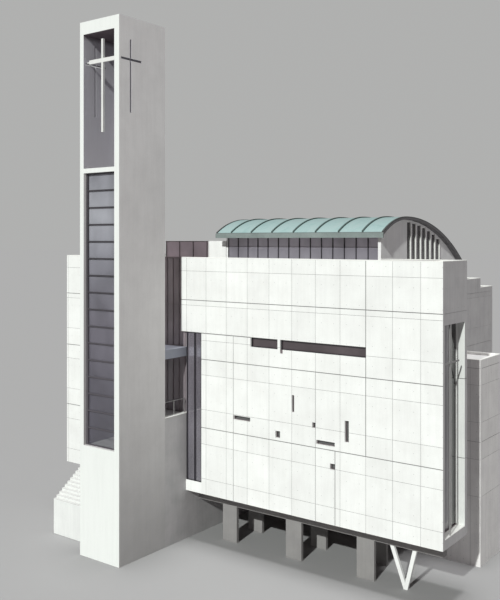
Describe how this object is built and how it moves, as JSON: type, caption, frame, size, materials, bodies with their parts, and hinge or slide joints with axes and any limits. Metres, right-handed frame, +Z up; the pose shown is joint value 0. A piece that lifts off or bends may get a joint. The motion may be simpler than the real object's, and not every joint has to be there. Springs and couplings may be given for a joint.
{
  "type": "modern church building",
  "caption": "Modern church of pale concrete panels: a tall tower with open crosses, a raised hall under a green vaulted roof, side wings, a porch and entrance steps.",
  "frame": {"origin": "centre of the plan's bounding box, at the lowest ground", "axes": "+Z up, +X to the right along the front, front faces -Y"},
  "size_m": [33.92, 31.43, 37.91],
  "materials": {
    "white_concrete": "fair-faced pale concrete panels with fine joints",
    "grey_concrete": "fair-faced concrete, plain",
    "soffit_panel": "brown stained concrete and soffit boards",
    "roof_metal": "pale green patina standing-seam sheet",
    "fascia_metal": "grey-green folded sheet",
    "dark_metal": "dark anodised window frames",
    "cross_metal": "satin white paint",
    "dark_glass": "dark tinted glazing",
    "blue_glass": "blue-grey tinted glazing",
    "brown_glass": "brown tinted glazing"
  },
  "bodies": {
    "root": {"tower_left_wall": "white_concrete", "tower_right_wall": "white_concrete", "tower_back_wall": "white_concrete", "tower_front_base": "white_concrete", "tower_roof_slab": "white_concrete", "tower_ledge": "white_concrete", "tower_floor": "grey_concrete", "tower_glass": "blue_glass", "tower_glazing_frame": "dark_metal", "tower_cross": "cross_metal", "link_wall": "grey_concrete", "porch_floor": "grey_concrete", "terrace_slab": "grey_concrete", "bridge_slab": "grey_concrete", "terrace_rail": "dark_metal", "stair_plinth": "white_concrete", "entrance_steps": "white_concrete", "front_wall": "white_concrete", "front_window_glass": "dark_glass", "front_block_back_wall": "grey_concrete", "front_block_roof": "grey_concrete", "corner_sill": "white_concrete", "corner_glass": "dark_glass", "gallery_floor": "grey_concrete", "side_wall": "grey_concrete", "side_glass": "dark_glass", "side_cross": "cross_metal", "main_floor": "grey_concrete", "right_gable_wall": "grey_concrete", "gable_slot_glass": "dark_glass", "left_gable_wall": "grey_concrete", "hall_back_wall": "white_concrete", "clerestory_glass": "dark_glass", "clerestory_bars": "dark_metal", "vault_roof": "roof_metal", "eave_fascia": "fascia_metal", "lobby_glazing": "brown_glass", "top_storey_glazing": "brown_glass", "white_pier": "white_concrete", "top_storey_walls": "grey_concrete", "top_storey_roof": "grey_concrete", "left_wing_front_wall": "white_concrete", "left_wing_end_wall": "white_concrete", "left_wing_back_wall": "white_concrete", "back_window_glass": "dark_glass", "left_wing_roof": "grey_concrete", "front_beam_and_piers": "soffit_panel", "rear_beam_and_piers": "soffit_panel", "left_beam_and_piers": "soffit_panel", "undercroft_back_wall": "soffit_panel", "front_v_strut": "white_concrete", "side_wing_walls": "grey_concrete", "side_wing_roof": "grey_concrete", "side_wing_floor": "grey_concrete", "annex_walls": "grey_concrete", "annex_roof": "grey_concrete", "rear_block_walls": "grey_concrete", "rear_block_roof": "grey_concrete"}
  },
  "joints": []
}
